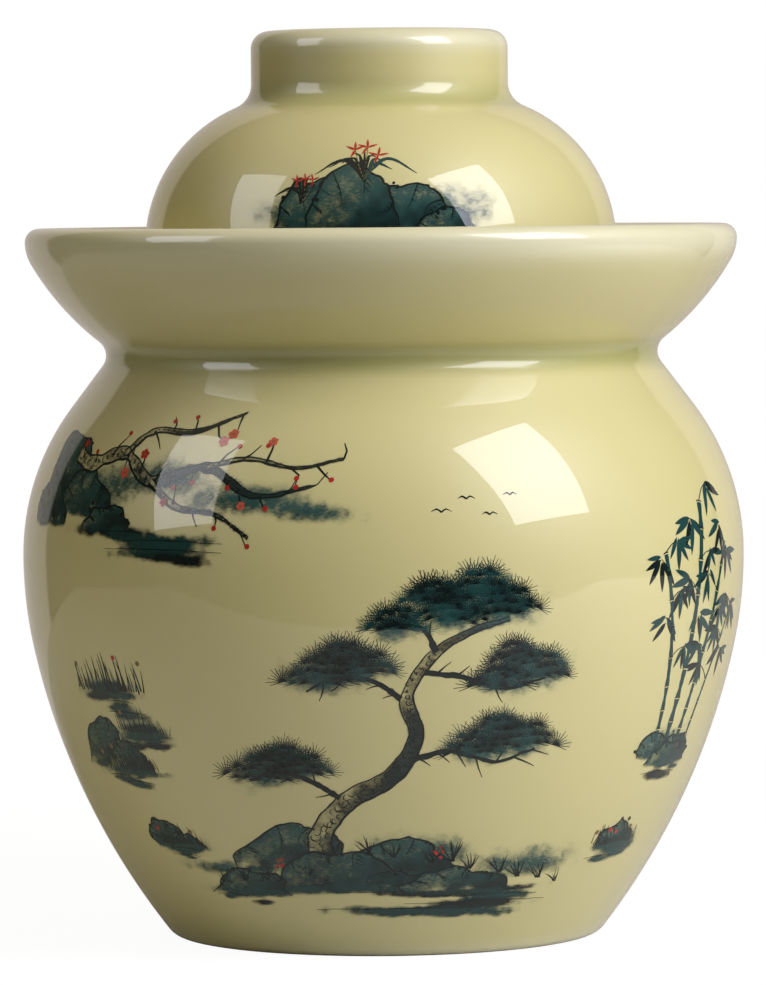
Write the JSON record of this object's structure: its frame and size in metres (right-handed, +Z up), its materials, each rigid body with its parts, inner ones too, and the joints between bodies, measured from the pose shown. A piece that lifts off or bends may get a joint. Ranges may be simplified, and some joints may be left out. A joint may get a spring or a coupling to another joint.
{
  "type": "water seal pickle jar",
  "caption": "Glazed ceramic fermenting jar with a flared water moat round its mouth, an inner lid and a bowl-shaped outer lid that stands in the moat.",
  "frame": {"origin": "centre of the foot ring, on the surface that the jar stands on", "axes": "+Z up along the jar's axis; +X and +Y are equal, since the jar is a body of revolution"},
  "size_m": [0.2316, 0.2316, 0.29],
  "materials": {
    "pot_glaze": "glossy celadon glaze over cream stoneware, with the foot ring left bare",
    "inner_lid_glaze": "glossy celadon glaze on top, bare seat and spigot",
    "outer_lid_glaze": "glossy celadon glaze, with the skirt's bottom edge left bare"
  },
  "bodies": {
    "pot": {"pot_body": "pot_glaze"},
    "inner_cover": {"inner_lid": "inner_lid_glaze"},
    "outer_cover": {"outer_lid": "outer_lid_glaze"}
  },
  "joints": [
    {"name": "inner_lid_lift", "type": "slide", "parent": "pot", "child": "inner_cover", "axis": [0, 0, 1], "range_m": [0, 0.06]},
    {"name": "outer_lid_lift", "type": "slide", "parent": "inner_cover", "child": "outer_cover", "axis": [0, 0, 1], "range_m": [0, 0.11]}
  ]
}
